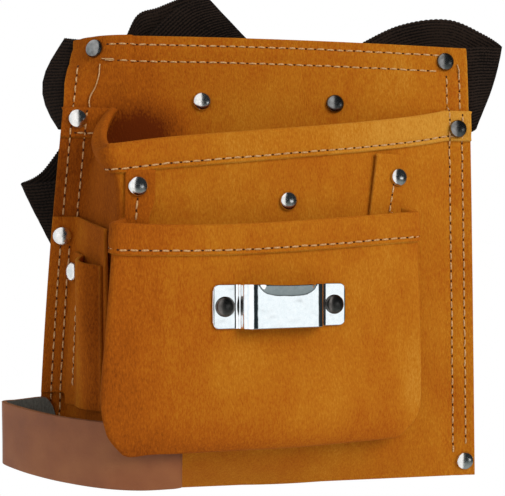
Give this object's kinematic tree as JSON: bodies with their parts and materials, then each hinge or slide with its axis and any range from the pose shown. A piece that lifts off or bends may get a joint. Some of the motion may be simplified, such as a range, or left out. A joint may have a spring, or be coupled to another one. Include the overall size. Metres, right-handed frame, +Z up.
{
  "type": "carpenter's nail apron",
  "caption": "Suede carpenter's nail apron on a webbing waist belt, with open pockets, a narrow tool sleeve, a steel tape clip and a leather hammer loop.",
  "frame": {"origin": "on the centre line of the waist belt's sewn stretch, on its body side, in the middle of the pouch", "axes": "+X to the viewer's right, +Y towards the wearer's body (the front faces -Y), +Z up"},
  "size_m": [0.2959, 0.1057, 0.2863],
  "materials": {
    "suede": "orange-tan split suede with a rough nap",
    "strap_leather": "smooth brown leather, grey flesh side",
    "webbing": "ribbed black-brown woven webbing",
    "chromed_steel": "bright chrome on pressed steel",
    "nickel": "satin nickel plate",
    "dark_nickel": "dull dark nickel plate",
    "buckle_plastic": "black moulded plastic"
  },
  "bodies": {
    "root": {"back_panel": "suede", "large_pocket": "suede", "front_pocket": "suede", "side_pocket": "suede", "tool_sleeve": "suede", "hammer_loop": "strap_leather", "waist_belt": "webbing", "tape_clip": "chromed_steel", "belt_buckle": "buckle_plastic", "rivet_top_left": "nickel", "rivet_top_right": "nickel", "rivet_belt_left": "nickel", "rivet_belt_right": "nickel", "rivet_flange_left": "nickel", "rivet_flange_right": "nickel", "rivet_side_pocket": "nickel", "rivet_bottom_right": "nickel", "rivet_strip_left": "nickel", "rivet_strip_right": "nickel", "rivet_front_middle": "nickel", "rivet_sleeve": "nickel", "clip_rivet_left": "dark_nickel", "clip_rivet_right": "dark_nickel"}
  },
  "joints": []
}
